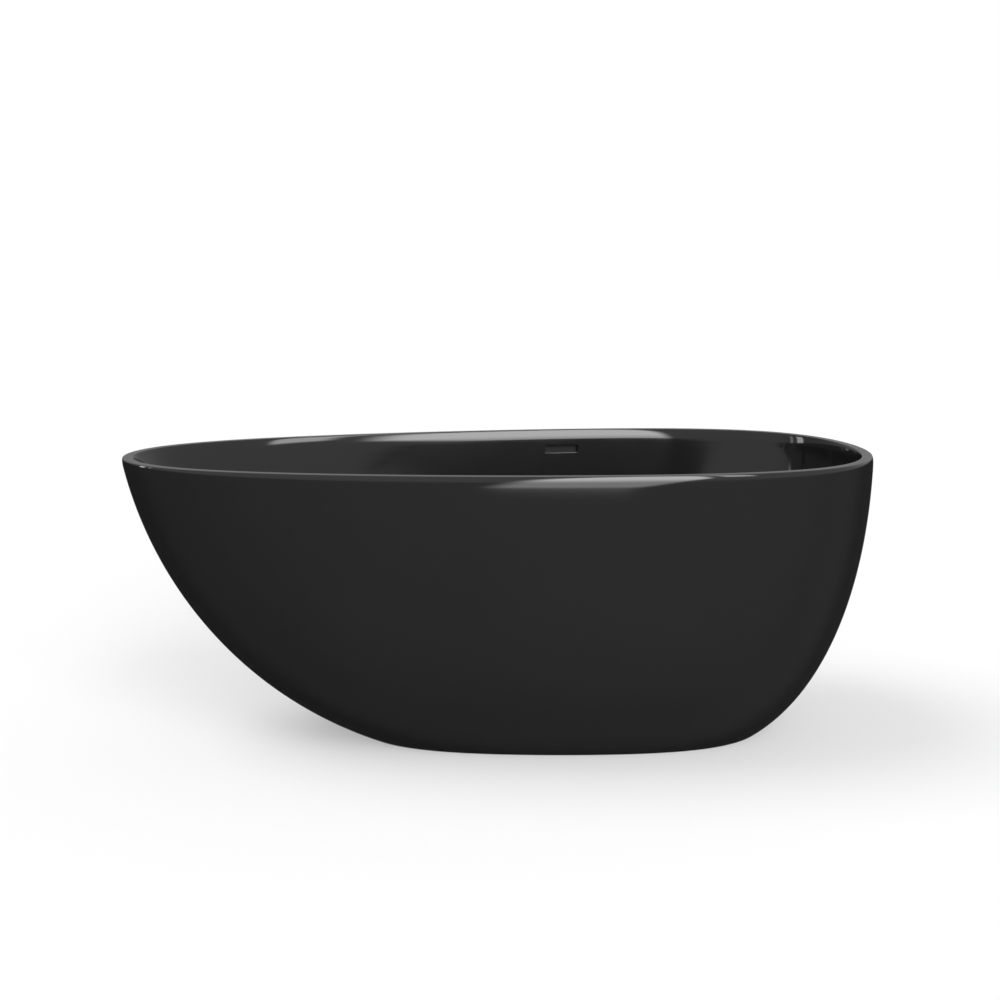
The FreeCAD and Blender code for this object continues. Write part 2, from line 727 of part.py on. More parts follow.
spring_low = val("floor_level") - val("barrel_top") + val("spring_gap")
boss_low = (
    val("floor_level") + val("seal_thick") + val("drain_rim_thick") + val("cap_lift")
    - val("boss_deep")
)
wire_rad = val("spring_wire")
spring_rise = boss_low - val("spring_gap") - spring_low - wire_rad * 2
helix = Part.makeHelix(spring_rise / val("spring_turns"), spring_rise, val("spring_rad"))
section = Part.Wire([Part.makeCircle(wire_rad, Vector(val("spring_rad"), 0, 0), Vector(0, 1, 0))])
spring = feature("spring_coil", Part.Wire(helix.Edges).makePipeShell([section], True, True))
spring.Placement = Placement(
    Vector(val("drain_along"), 0, spring_low + wire_rad), Rotation()
)
keep(spring, "plug_spring")

# ---------------------------------------------------------------- overflow
at_x = val("drain_along")
bowl_fine = basin_rows(val("basin_wall"), 720)
lining_fine = outer_rows(-val("skirt_wall"), 720)
slot_mid = val("tub_high") - val("slot_drop")
slot_half = val("slot_wide") / 2
housing_top = slot_mid + val("slot_tall") / 2 + val("housing_above")
housing_low = slot_mid - val("slot_tall") / 2 - val("housing_below")
chute_low = housing_low - val("chute_tall")
thin = val("housing_wall")


def gap_middle(z):
    """Halfway across the space between the basin and the skirt."""
    return (wall_y(bowl_fine, at_x, z) + wall_y(lining_fine, at_x, z)) / 2


def layer(inner, outer, outline):
    """What lies between two offsets of the basin's outer skin, inside an upright outline."""
    far = val("tub_wide") / 2
    corners = [Vector(at_x + x, far / 2, z) for x, z in outline]
    column = Part.Face(Part.makePolygon(corners + corners[:1])).extrude(Vector(0, far / 2, 0))
    start = val("basin_wall")
    grown = column.common(skin_solid(basin_rows(start + outer)))
    return grown.cut(skin_solid(basin_rows(start + inner)))


def funnel(shrink, low):
    """The outline of the flat chute: wide at the slot and narrow at the spout."""
    wide, narrow = slot_half + val("housing_side") - shrink, val("chute_half") - shrink
    return [
        (-wide, housing_top - shrink), (wide, housing_top - shrink), (wide, housing_low),
        (narrow, low), (-narrow, low), (-wide, housing_low),
    ]


def frame_outline(side, above):
    low = slot_mid - val("slot_tall") / 2 - above
    high = slot_mid + val("slot_tall") / 2 + above
    return [(-slot_half - side, low), (slot_half + side, low),
            (slot_half + side, high), (-slot_half - side, high)]


gasket_deep = val("slot_gasket")
housing_far = gasket_deep + val("housing_deep")
frame_wide = val("housing_above") - 1
slot_gasket = layer(0, gasket_deep, frame_outline(frame_wide, frame_wide))
mouth = layer(-1, gasket_deep + thin + 1, frame_outline(0, 0))
keep(feature("slot_gasket_form", slot_gasket.cut(mouth)), "overflow_gasket")

spout_rad = val("hose_rad") - val("hose_wall") - val("hose_slack")
spout_high = chute_low + val("spout_tall") / 2
spout_low = chute_low - val("spout_tall") / 2
spout_top = Vector(at_x, gap_middle(spout_high), spout_high)
spout_way = Vector(at_x, gap_middle(spout_low), spout_low) - spout_top
spout_unit = Vector(spout_way).normalize()
tube = Part.makeCylinder(spout_rad, spout_way.Length, spout_top, spout_way)
tube_bore = Part.makeCylinder(
    spout_rad - thin, spout_way.Length, spout_top + spout_unit * thin, spout_way
)
chute = layer(gasket_deep, housing_far, funnel(0, chute_low)).fuse(tube)
chute_bore = layer(gasket_deep + thin, housing_far - thin, funnel(thin, chute_low + thin))
housing_shape = chute.cut(chute_bore.fuse([tube_bore, mouth]))
keep(feature("housing", housing_shape), "overflow_housing")

half_tub = val("tub_wide") / 2
floor = val("floor_level")
hose_top = spout_top + spout_unit * (spout_way.Length - 16)
hose_points = [hose_top]
for share in (0.85, 0.42, 0):
    level = floor + 70 + (hose_top.z - floor - 70) * share
    hose_points.append(Vector(at_x, gap_middle(level), level))
hose_points += [
    Vector(at_x, half_tub * val("hose_outer_share"), floor + val("hose_bend_over")),
    Vector(at_x, half_tub * val("hose_mid_share"), floor - val("hose_bend_under")),
    Vector(at_x, half_tub * val("hose_inner_share"), floor - val("hose_under")),
    Vector(at_x, val("inlet_reach") + 1, floor - val("hose_under")),
]


def rounded_path(points):
    """Straight runs joined by tangent arcs."""
    edges, begin = [], points[0]
    for before, corner, after in zip(points, points[1:], points[2:]):
        back_way, on_way = before - corner, after - corner
        turn = math.pi - back_way.getAngle(on_way)
        reach = 0.45 * min(back_way.Length, on_way.Length)
        one = corner + Vector(back_way).normalize() * reach
        two = corner + Vector(on_way).normalize() * reach
        rad = reach / math.tan(turn / 2)
        towards = (Vector(back_way).normalize() + Vector(on_way).normalize()).normalize()
        centre = corner + towards * (rad / math.cos(turn / 2))
        nearest = centre - towards * rad
        edges += [Part.LineSegment(begin, one).toShape(), Part.Arc(one, nearest, two).toShape()]
        print("hose bend radius", round(rad, 1))
        begin = two
    edges.append(Part.LineSegment(begin, points[-1]).toShape())
    return Part.Wire(edges)


path = rounded_path(hose_points)
start_way = (hose_points[1] - hose_points[0]).normalize()
rings = [
    Part.Wire([Part.makeCircle(rad, hose_points[0], start_way)])
    for rad in (val("hose_rad"), val("hose_rad") - val("hose_wall"))
]
tube_out, tube_in = (path.makePipeShell([one], True, True) for one in rings)
hose_shape = tube_out.cut(tube_in)
hose_area = math.pi * (val("hose_rad") ** 2 - (val("hose_rad") - val("hose_wall")) ** 2)
print("hose length", round(path.Length, 1), "mm, volume share",
      round(hose_shape.Volume / hose_area / path.Length, 4))
keep(feature("hose", hose_shape), "overflow_hose")

clamps = []
clamp_in = val("hose_rad") + val("clamp_gap")
clamp_out = clamp_in + val("clamp_thick")
clamp_wide = val("clamp_wide")
for middle, way in (
    (hose_points[0] + start_way * 7, start_way),
    (hose_points[-1] + Vector(0, 7, 0), Vector(0, 1, 0)),
):
    foot = middle - way * (clamp_wide / 2)
    ring_shape = Part.makeCylinder(clamp_out, clamp_wide, foot, way)
    ear = Part.makeBox(val("clamp_ear"), val("clamp_ear"), clamp_wide, Vector(
        clamp_in - 0.5, -val("clamp_ear") / 2, 0))
    ear.Placement = Placement(foot, Rotation(Vector(1, 0, 0), Vector(), way, "ZXY"))
    solid = ring_shape.fuse(ear).cut(Part.makeCylinder(clamp_in, clamp_wide, foot, way))
    clamps.append(feature(f"clamp_{len(clamps) + 1}", solid.removeSplitter()))
keep(group("clamp_set", clamps), "hose_clamps")
doc.recompute()

# ---------------------------------------------------------------- checks and export
for made in doc.Objects:
    if "Invalid" in made.State or "Error" in made.State:
        raise RuntimeError(f"{made.Name} did not compute: {made.State}")
for made in PARTS:
    if made.Shape.isNull() or not made.Shape.isValid():
        raise RuntimeError(f"{made.Label} is not a valid shape")
os.makedirs("parts", exist_ok=True)
for made in PARTS:
    made.Shape.exportStep(f"parts/{made.Label}.step")
    print(made.Label, len(made.Shape.Solids), round(made.Shape.Volume / 1000, 2), "cm3")
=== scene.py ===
import math

import bmesh
import bpy
import numpy as np
from mathutils import Matrix, Vector

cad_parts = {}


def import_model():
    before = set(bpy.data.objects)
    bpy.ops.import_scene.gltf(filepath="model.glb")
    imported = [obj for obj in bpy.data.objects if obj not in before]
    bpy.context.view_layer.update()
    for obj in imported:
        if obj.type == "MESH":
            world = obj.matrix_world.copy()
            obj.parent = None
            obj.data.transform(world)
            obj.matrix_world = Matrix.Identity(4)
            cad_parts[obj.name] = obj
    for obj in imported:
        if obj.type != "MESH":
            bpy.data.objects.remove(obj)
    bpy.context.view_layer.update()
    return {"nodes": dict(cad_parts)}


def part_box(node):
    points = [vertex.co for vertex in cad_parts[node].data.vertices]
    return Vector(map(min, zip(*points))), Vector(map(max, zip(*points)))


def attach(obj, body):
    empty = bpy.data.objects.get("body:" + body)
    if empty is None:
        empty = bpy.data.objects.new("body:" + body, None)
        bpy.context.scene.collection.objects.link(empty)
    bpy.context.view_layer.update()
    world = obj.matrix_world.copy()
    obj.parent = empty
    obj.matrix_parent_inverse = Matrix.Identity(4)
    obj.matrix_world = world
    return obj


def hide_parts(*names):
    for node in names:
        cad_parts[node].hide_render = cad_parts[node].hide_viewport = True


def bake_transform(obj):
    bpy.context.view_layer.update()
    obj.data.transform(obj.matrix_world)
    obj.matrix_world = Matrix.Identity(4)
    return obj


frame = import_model()

TAU = math.tau
COLUMNS = 384          # quads round the tub
FINE = 2880            # samples used to place the columns

# ------------------------------------------------------------------ the tub's form, as in the CAD
HALF_LONG, HALF_WIDE, HIGH = 0.750, 0.375, 0.580
FLOOR_LEVEL = 0.130
BASIN_WALL, SKIRT_WALL, RIM_WIDE, RIM_THICK = 0.006, 0.006, 0.025, 0.006
CROWN_TALL, CROWN_DEEP, CIRCLE_SHARE = 0.021, 0.0032, 0.5523
LIP_LEVEL, SKIRT_TOP = 0.552, 0.55198
FLANGE_WIDE, FLANGE_THICK, FOOT_ROUND = 0.030, 0.005, 0.0015
DRAIN_X, DRAIN_HOLE = 0.174, 0.026
SLOT_EDGE = 0.0011
FLOOR_ROWS, EDGE_BEFORE, EDGE_RISE = 40, 5, 0.016
PLY_THICK = 0.0014
SLOT_LEFT, SLOT_RIGHT, SLOT_LOW, SLOT_HIGH = 0.1365, 0.2115, 0.529, 0.545
# reach left, right and sideways, height share, and the three numbers of the egg
OUTER = (
    (0.3693, 0.7280, 0.5333, 0.0000, 0.0780, 0.0600, 0.0000),
    (0.7035, 0.9083, 0.8568, 0.1734, 0.0917, 0.0525, -0.0136),
    (0.9348, 1.0025, 0.9907, 0.5550, 0.1050, 0.0450, -0.0272),
    (1.0000, 1.0000, 1.0000, 1.0000, 0.1190, 0.0376, -0.0408),
)
BASIN = (
    (0.2667, 0.5867, 0.4000, 0.0000, 0.0800, 0.0600, 0.0000),
    (0.5333, 0.8000, 0.6987, 0.0000, 0.0900, 0.0500, -0.0100),
    (0.8560, 0.9635, 0.8970, 0.4444, 0.1050, 0.0450, -0.0270),
)
ANGLES = np.arange(FINE) * TAU / FINE
# rows of quads in each stretch of the two skins, and how they crowd towards its lower end
WALL_ROWS, CROWN_ROWS, BACK_ROWS, UNDER_ROWS, SKIRT_ROWS, LINING_ROWS = 104, 26, 80, 12, 120, 60
FLOOR_CROWD, WALL_CROWD, SKIRT_CROWD, LINING_CROWD = 0.8, 1.9, 1.25, 1.2
# rows across the rim's flat top, down its lip outside and up its lip inside
RIM_OUTS, LIP_LEVELS, LINING_LEVEL = (-0.017, -0.0125, -0.008), (0.5565, 0.554), 0.563
# the studio: brightness of its upper part, and of its lower part against how far forward a
# ray goes, and its windows
FLOOR_GLOW, FLOOR_TONE, UPPER_TONE, BACK_DIM = 0.385, 0.46, 0.66, 0.5
LOWER_TONES = ((-1.0, 0.02), (-0.45, 0.02), (-0.2, 0.07), (0.0, 0.10), (0.3, 0.11), (0.5, 0.15),
               (0.85, 0.22), (1.0, 0.24))
# left edge and lean, right edge, lean and end, low, high, strength below and above the rim, softness
WINDOWS = (
    (-0.10, 0.25, 0.29, 0.70, 0.395, -0.19, 1.7, 3.6, 9.6, 0.035),
    (0.48, 0.0, 0.68, 0.0, 1.0, 0.27, 1.7, 6.4, 6.4, 0.03),
)
# heading, half width, lowest and highest in degrees, strength, softness in radians
SMALL_WINDOWS = (
    (-104.0, 3.5, -2.0, 17.0, 5.0, 0.015),
    (-94.0, 1.5, 0.0, 17.0, 2.0, 0.015),
)
# the hidden hose: its route from the overflow box to the drain, and its section
HOSE_ROUTE = (
    (0.174, 0.3337, 0.3417), (0.174, 0.3292, 0.3204), (0.174, 0.3122, 0.2595),
    (0.174, 0.2888, 0.2000), (0.174, 0.2449, 0.1450), (0.174, 0.1800, 0.1000),
    (0.174, 0.1125, 0.0870), (0.174, 0.0450, 0.0870),
)
HOSE_RAD, HOSE_BORE, HOSE_CUFF, HOSE_PITCH = 0.011, 0.009, 0.020, 0.0042
HOSE_WAVE, HOSE_STEP, HOSE_SIDES = 0.0006, 0.0005, 28
# the feet, their nuts and the plug's spring
FEET = range(1, 6)
STUD_RAD, SHANK_RAD, THREAD_PITCH, THREAD_DEEP = 0.005, 0.0042, 0.0015, 0.0008
COLLAR_RAD, COLLAR_LOW, COLLAR_HIGH = 0.0085, 0.0133, 0.0193
NUT_RAD, NUT_BORE, NUT_STEP, NUT_SINK = 0.0095, 0.00508, 0.0007, 0.0004
CENTRE = 0.0002        # the radius at which a turned piece closes
SPRING_WIRE, SPRING_TURNS = 0.0005, 4
# the camera, and the wide soft lamp
CAMERA_AT, CAMERA_WAY, CAMERA_LENS = (-0.2745, -2.9099, 0.9651), (0.0928, 0.9821, -0.164), 52.37
SUN_WAY, SUN_STRENGTH, SUN_DEGREES = (0.5, -0.05, -0.87), 1.4, 35
FLOOR_HALF = 60.0


def ring(shape, level, out=0.0):
    """One egg-shaped control ring as an array of points, moved outwards by out."""
    left, right, side, _, lean, third, square = shape
    middle, reach = HALF_LONG * (right - left) / 2, HALF_LONG * (right + left) / 2
    a = ANGLES
    wave = np.sin(a) + lean * np.sin(2 * a) + third * np.sin(3 * a)
    wide = side * HALF_WIDE / wave.max()
    x = middle + reach * (np.cos(a) + square * np.cos(3 * a)) / (1 + square)
    y = wide * wave
    dx = -reach * (np.sin(a) + 3 * square * np.sin(3 * a)) / (1 + square)
    dy = wide * (np.cos(a) + 2 * lean * np.cos(2 * a) + 3 * third * np.cos(3 * a))
    run = np.hypot(dx, dy)
    return np.stack([x + out * dy / run, y - out * dx / run, np.full(FINE, level)], axis=1)


def outer_rings(out=0.0):
    return [ring(shape, shape[3] * HIGH, out) for shape in OUTER]


def basin_rings(out=0.0):
    sunk = max(out, 0.0)
    rise = HIGH - FLOOR_LEVEL
    rings = [ring(shape, FLOOR_LEVEL - sunk + shape[3] * rise, out) for shape in BASIN]
    return rings + [ring(OUTER[-1], HIGH, out - RIM_WIDE)]


def bezier(p, v):
    u = 1 - v
    return p[0] * u**3 + p[1] * 3 * u * u * v + p[2] * 3 * u * v * v + p[3] * v**3


def share_at(rings, level):
    """The Bezier share at which a skin reaches one height."""
    low, high = 0.0, 1.0
    heights = [r[0, 2] for r in rings]
    for _ in range(45):
        v = (low + high) / 2
        if bezier(heights, v) < level:
            low = v
        else:
            high = v
    return v


def at_height(rings, level):
    """The skin's outline at one height."""
    line = bezier(rings, share_at(rings, level))
    line[:, 2] = level
    return line


def crown(rings, edge, count):
    """Outlines from the start of the rim's soft crown up to its flat top."""
    v = share_at(rings, HIGH - CROWN_TALL)
    one, two, three = (p + (q - p) * v for p, q in zip(rings, rings[1:]))
    four, five = one + (two - one) * v, two + (three - two) * v
    joint = four + (five - four) * v
    rise = (five - four) * (CIRCLE_SHARE * CROWN_TALL / (five[0, 2] - four[0, 2]))
    path = (joint, joint + rise, ring(OUTER[-1], HIGH, edge[0]), ring(OUTER[-1], HIGH, edge[1]))
    return [bezier(path, t) for t in np.linspace(0, 1, count)]


def columns(line):
    """COLUMNS points of an outline, two of them exactly on the slot's sides."""
    upper = line[: FINE // 2]
    marks = [np.interp(-x, -upper[:, 0], ANGLES[: FINE // 2]) for x in (SLOT_RIGHT, SLOT_LEFT)]
    turn = np.interp(np.arange(COLUMNS), [0, SLOT_COLUMNS[0], SLOT_COLUMNS[1], COLUMNS],
                     [0, marks[0], marks[1], TAU])
    return np.stack([np.interp(turn, np.append(ANGLES, TAU), np.append(line[:, k], line[0, k]))
                     for k in range(3)], axis=1)


def slot_columns():
    line = at_height(basin_rings(), (SLOT_LOW + SLOT_HIGH) / 2)[: FINE // 2]
    turns = [np.interp(-x, -line[:, 0], ANGLES[: FINE // 2]) for x in (SLOT_RIGHT, SLOT_LEFT)]
    return [round(t / TAU * COLUMNS) for t in turns]


SLOT_COLUMNS = slot_columns()


def circle_like(line, rad, level):
    """A circle round the drain whose points lie in the directions of an outline's points."""
    d = line[:, :2] - np.array([DRAIN_X, 0.0])
    a = np.arctan2(d[:, 1], d[:, 0])
    return np.stack([DRAIN_X + rad * np.cos(a), rad * np.sin(a), np.full(len(a), level)], axis=1)


# ------------------------------------------------------------------ mesh helpers
def new_object(name, verts, faces, body, slot, replaced=(), smooth=35, back_from=None):
    """A piece on a body, or on none.

    Faces that lie wholly past vertex back_from get its second material.
    """
    mesh = bpy.data.meshes.new(name)
    mesh.from_pydata([tuple(v) for v in verts], [], faces)
    if back_from is not None:
        mesh.materials.append(ACRYLIC)
        mesh.materials.append(FIBREGLASS)
        mesh.polygons.foreach_set("material_index", [int(min(f) >= back_from) for f in faces])
    obj = bpy.data.objects.new(name, mesh)
    bpy.context.scene.collection.objects.link(obj)
    finish_mesh(obj, smooth)
    if body:
        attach(obj, body)
    if replaced:
        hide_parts(*replaced)
    return obj


def finish_mesh(obj, smooth=35):
    bm = bmesh.new()
    bm.from_mesh(obj.data)
    bmesh.ops.remove_doubles(bm, verts=bm.verts, dist=1e-7)
    bmesh.ops.recalc_face_normals(bm, faces=bm.faces)
    for face in bm.faces:
        face.smooth = True
    for edge in bm.edges:
        edge.smooth = edge.calc_face_angle(0.0) < math.radians(smooth)
    bm.to_mesh(obj.data)
    bm.free()


def ring_faces(rows, count, capped=False):
    """Quads between rings of count points. The last ring joins the first, or both are capped."""
    faces = []
    for r in range(rows - 1 if capped else rows):
        one, two = r * count, ((r + 1) % rows) * count
        for c in range(count):
            d = (c + 1) % count
            faces.append((one + c, one + d, two + d, two + c))
    if capped:
        faces.append(tuple(range(count)))
        faces.append(tuple(reversed(range((rows - 1) * count, rows * count))))
    return faces


def loft(rows, capped=False):
    """A closed skin over rings of equal length."""
    return np.concatenate(rows), ring_faces(len(rows), len(rows[0]), capped)


# ------------------------------------------------------------------ node helpers
class Nodes:
    """A short way to build a node tree."""

    def __init__(self, tree):
        self.tree = tree
        tree.nodes.clear()

    def add(self, kind, inputs=None, **settings):
        node = self.tree.nodes.new(kind)
        for key, value in settings.items():
            setattr(node, key, value)
        for key, value in (inputs or {}).items():
            if isinstance(value, bpy.types.NodeSocket):
                self.tree.links.new(value, node.inputs[key])
            else:
                node.inputs[key].default_value = value
        return node

    def math(self, op, a, b=0.0, c=0.0):
        return self.add("ShaderNodeMath", {0: a, 1: b, 2: c}, operation=op).outputs[0]

    def ramp(self, value, stops):
        node = self.add("ShaderNodeValToRGB", {"Fac": value})
        band = node.color_ramp
        while len(band.elements) < len(stops):
            band.elements.new(0.5)
        for element, (at, colour) in zip(band.elements, stops):
            element.position = at
            element.color = (*colour, 1.0)
        return node.outputs["Color"]

    def noise(self, scale, detail=3.0, rough=0.5, where=None, distort=0.0):
        inputs = {"Scale": scale, "Detail": detail, "Roughness": rough, "Distortion": distort}
        if where is not None:
            inputs["Vector"] = where
        return self.add("ShaderNodeTexNoise", inputs).outputs["Fac"]


def material(name):
    """A material, its nodes, its shader and the place on the object that its patterns use."""
    mat = bpy.data.materials.new(name)
    mat.use_nodes = True
    nodes = Nodes(mat.node_tree)
    shader = nodes.add("ShaderNodeBsdfPrincipled")
    nodes.add("ShaderNodeOutputMaterial", {"Surface": shader.outputs[0]})
    where = nodes.add("ShaderNodeTexCoord").outputs["Object"]
    return mat, nodes, shader, where


def bump(nodes, shader, height, distance):
    node = nodes.add("ShaderNodeBump", {"Height": height, "Distance": distance, "Strength": 1.0})
    nodes.tree.links.new(node.outputs[0], shader.inputs["Normal"])


def link(nodes, out, shader, socket):
    nodes.tree.links.new(out, shader.inputs[socket])


def acrylic():
    """Polished black acrylic: nearly even, with faint clouding and a very slow waviness."""
    mat, nodes, shader, where = material("gloss_black_acrylic")
    shader.inputs["IOR"].default_value = 1.49
    cloud = nodes.noise(3.0, 4.0, 0.55, where)
    tone = nodes.ramp(cloud, [(0.35, (0.0091, 0.0091, 0.0093)), (0.68, (0.0099, 0.0099, 0.0102))])
    link(nodes, tone, shader, "Base Color")
    smear = nodes.noise(9.0, 5.0, 0.6, where, 0.8)
    link(nodes, nodes.math("MULTIPLY_ADD", smear, 0.02, 0.045), shader, "Roughness")
    bump(nodes, shader, nodes.noise(4.5, 1.0, 0.3, where), 0.00025)
    return mat


def surface(name, tones, rough, metal=0.0, scale=6.0, stretch=(1, 1, 1), grain=0.0,
            grain_scale=400.0, settings=()):
    """A material whose tone and roughness wander between two ends, with a fine bump."""
    mat, nodes, shader, where = material(name)
    place = nodes.add("ShaderNodeMapping", {"Vector": where, "Scale": stretch}).outputs[0]
    cloud = nodes.noise(scale, 5.0, 0.6, place, 0.4)
    link(nodes, nodes.ramp(cloud, [(0.34, tones[0]), (0.66, tones[1])]), shader, "Base Color")
    smear = nodes.noise(scale * 2.3, 4.0, 0.6, place, 0.8)
    link(nodes, nodes.math("MULTIPLY_ADD", smear, rough[1] - rough[0], rough[0]), shader, "Roughness")
    shader.inputs["Metallic"].default_value = metal
    for socket, value in settings:
        shader.inputs[socket].default_value = value
    if grain:
        bump(nodes, shader, nodes.noise(grain_scale, 3.0, 0.55, place), grain)
    return mat


def fibreglass():
    """Chopped strands in resin, as on the hidden side of a moulded tub."""
    mat, nodes, shader, where = material("resin_and_glass_fibre")
    strands = None
    for turn in (0.2, 1.25, 2.3):
        place = nodes.add("ShaderNodeMapping", {
            "Vector": where, "Rotation": (0.3 * turn, 0.5 * turn, turn), "Scale": (1.0, 14.0, 14.0),
        }).outputs[0]
        line = nodes.noise(16.0, 2.0, 0.5, place, 0.6)
        strands = line if strands is None else nodes.math("MAXIMUM", strands, line)
    tone = nodes.ramp(strands, [(0.45, (0.20, 0.195, 0.17)), (0.72, (0.42, 0.41, 0.36))])
    link(nodes, tone, shader, "Base Color")
    link(nodes, nodes.math("MULTIPLY_ADD", strands, 0.25, 0.38), shader, "Roughness")
    bump(nodes, shader, strands, 0.0009)
    return mat


def plywood():
    """Birch plywood: long grain on the faces and stacked plies on the edges."""
    mat, nodes, shader, where = material("birch_plywood")
    face_place = nodes.add("ShaderNodeMapping", {"Vector": where, "Scale": (1.2, 16.0, 1.0)})
    grain = nodes.noise(7.0, 6.0, 0.62, face_place.outputs[0], 1.2)
    face = nodes.ramp(grain, [(0.30, (0.36, 0.22, 0.11)), (0.52, (0.56, 0.39, 0.22)),
                              (0.74, (0.66, 0.49, 0.30))])
    split = nodes.add("ShaderNodeSeparateXYZ", {"Vector": where})
    plies = nodes.math("FRACT", nodes.math("MULTIPLY", split.outputs["Z"], 0.5 / PLY_THICK))
    edge = nodes.ramp(plies, [(0.0, (0.58, 0.42, 0.25)), (0.47, (0.52, 0.36, 0.20)),
                              (0.50, (0.20, 0.115, 0.06)), (0.55, (0.34, 0.21, 0.11)),
                              (0.97, (0.30, 0.18, 0.09)), (1.0, (0.20, 0.115, 0.06))])
    normal = nodes.add("ShaderNodeNewGeometry").outputs["Normal"]
    upright = nodes.math("ABSOLUTE", nodes.add("ShaderNodeSeparateXYZ", {"Vector": normal}).outputs["Z"])
    is_face = nodes.math("GREATER_THAN", upright, 0.6)
    mix = nodes.add("ShaderNodeMix", {"Factor": is_face}, data_type="RGBA")
    nodes.tree.links.new(edge, mix.inputs[6])
    nodes.tree.links.new(face, mix.inputs[7])
    link(nodes, mix.outputs[2], shader, "Base Color")
    link(nodes, nodes.math("MULTIPLY_ADD", grain, 0.22, 0.42), shader, "Roughness")
    bump(nodes, shader, grain, 0.00025)
    return mat


def galvanised():
    """Hot-dip zinc with its spangle."""
    mat, nodes, shader, where = material("galvanised_steel")
    cells = nodes.add("ShaderNodeTexVoronoi", {"Vector": where, "Scale": 85.0, "Randomness": 1.0})
    grey = nodes.add("ShaderNodeSeparateColor", {"Color": cells.outputs["Color"]}).outputs["Red"]
    link(nodes, nodes.ramp(grey, [(0.0, (0.42, 0.43, 0.45)), (1.0, (0.66, 0.67, 0.68))]), shader,
         "Base Color")
    link(nodes, nodes.math("MULTIPLY_ADD", grey, 0.16, 0.30), shader, "Roughness")
    shader.inputs["Metallic"].default_value = 1.0
    bump(nodes, shader, nodes.noise(240.0, 3.0, 0.5, where), 0.00006)
    return mat


ACRYLIC = acrylic()
FIBREGLASS = fibreglass()
MATERIALS = {
    "plywood": plywood(),
    "galvanised": galvanised(),
    "zinc": surface("zinc_plate", ((0.58, 0.58, 0.54), (0.74, 0.73, 0.68)), (0.18, 0.34), 1.0, 90.0,
                    grain=0.00002),
    "rubber": surface("moulded_rubber", ((0.014, 0.014, 0.015), (0.030, 0.030, 0.031)), (0.62, 0.82),
                      0.0, 60.0, grain=0.00012, grain_scale=900.0),
    "chrome": surface("polished_chrome", ((0.76, 0.77, 0.79), (0.82, 0.83, 0.84)), (0.035, 0.11), 1.0,
                      22.0, grain=0.000006, grain_scale=300.0),
    "brass": surface("turned_brass", ((0.55, 0.38, 0.14), (0.76, 0.58, 0.27)), (0.18, 0.32), 1.0,
                     45.0, (1, 1, 26), grain=0.00003),
    "stainless": surface("stainless_steel", ((0.56, 0.56, 0.56), (0.70, 0.70, 0.70)), (0.18, 0.30),
                         1.0, 55.0, (1, 1, 18), grain=0.00002),
    "seal": surface("soft_seal_rubber", ((0.018, 0.018, 0.020), (0.036, 0.036, 0.039)), (0.48, 0.66),
                    0.0, 80.0, grain=0.00006, grain_scale=1200.0),
    "white": surface("white_waste_plastic", ((0.74, 0.74, 0.72), (0.82, 0.82, 0.80)), (0.28, 0.42),
                     0.0, 35.0, grain=0.00003, grain_scale=700.0),
    "black": surface("black_moulded_plastic", ((0.0030, 0.0030, 0.0033), (0.0055, 0.0055, 0.0058)),
                     (0.42, 0.60), 0.0, 70.0, grain=0.00005, grain_scale=900.0,
                     settings=(("Specular IOR Level", 0.2),)),
    "hose": surface("flexible_hose_plastic", ((0.46, 0.47, 0.48), (0.58, 0.59, 0.60)), (0.34, 0.50),
                    0.0, 40.0, grain=0.00004, grain_scale=800.0),
}
# the finish of every node that is shown as the CAD has it
FINISHES = {
    "plywood": ["base_board"],
    "galvanised": ["crossbar_head", "crossbar_middle", "crossbar_foot", "skirt_brackets"],
    "zinc": ["crossbar_screws", "bracket_bolts"],
    "chrome": ["drain_flange", "plug_cap"],
    "brass": ["plug_cartridge"],
    "stainless": ["plug_stem", "hose_clamps"],
    "seal": ["drain_flange_seal", "drain_gasket", "outlet_washer", "plug_seal", "overflow_gasket"],
    "white": ["drain_body", "outlet_slip_nut", "drain_tailpiece"],
    "black": ["overflow_housing"],
}
EDGES = {
    "base_board": 0.0012, "crossbar_head": 0.0010, "crossbar_middle": 0.0010,
    "crossbar_foot": 0.0010, "skirt_brackets": 0.0006,
}


def finish_nodes():
    """Gives each node shown as the CAD has it its material, and eases its edges."""
    for finish, nodes in FINISHES.items():
        for name in nodes:
            obj = frame["nodes"][name]
            for slot in obj.material_slots:
                slot.material = MATERIALS[finish]
            if name in EDGES:
                obj.modifiers.new("weld", "WELD").merge_threshold = 1e-5
                edge = obj.modifiers.new("edge", "BEVEL")
                edge.width, edge.segments = EDGES[name], 2
                edge.limit_method, edge.angle_limit = "ANGLE", math.radians(40)


# ------------------------------------------------------------------ basin
cavity, bowl = basin_rings(), basin_rings(BASIN_WALL)
outside, lining = outer_rings(), outer_rings(-SKIRT_WALL)


def round_floor_edge(rows):
    """Blends the basin's flat floor softly into its walls, row by row."""
    first = FLOOR_ROWS - EDGE_BEFORE
    last = next(i for i, row in enumerate(rows) if row[0, 2] > FLOOR_LEVEL + EDGE_RISE)
    start, corner, end = rows[first].copy(), rows[FLOOR_ROWS].copy(), rows[last].copy()
    count = last - first
    for i in range(1, count):
        t = i / count
        rows[first + i] = start * (1 - t) ** 2 + corner * 2 * t * (1 - t) + end * t * t


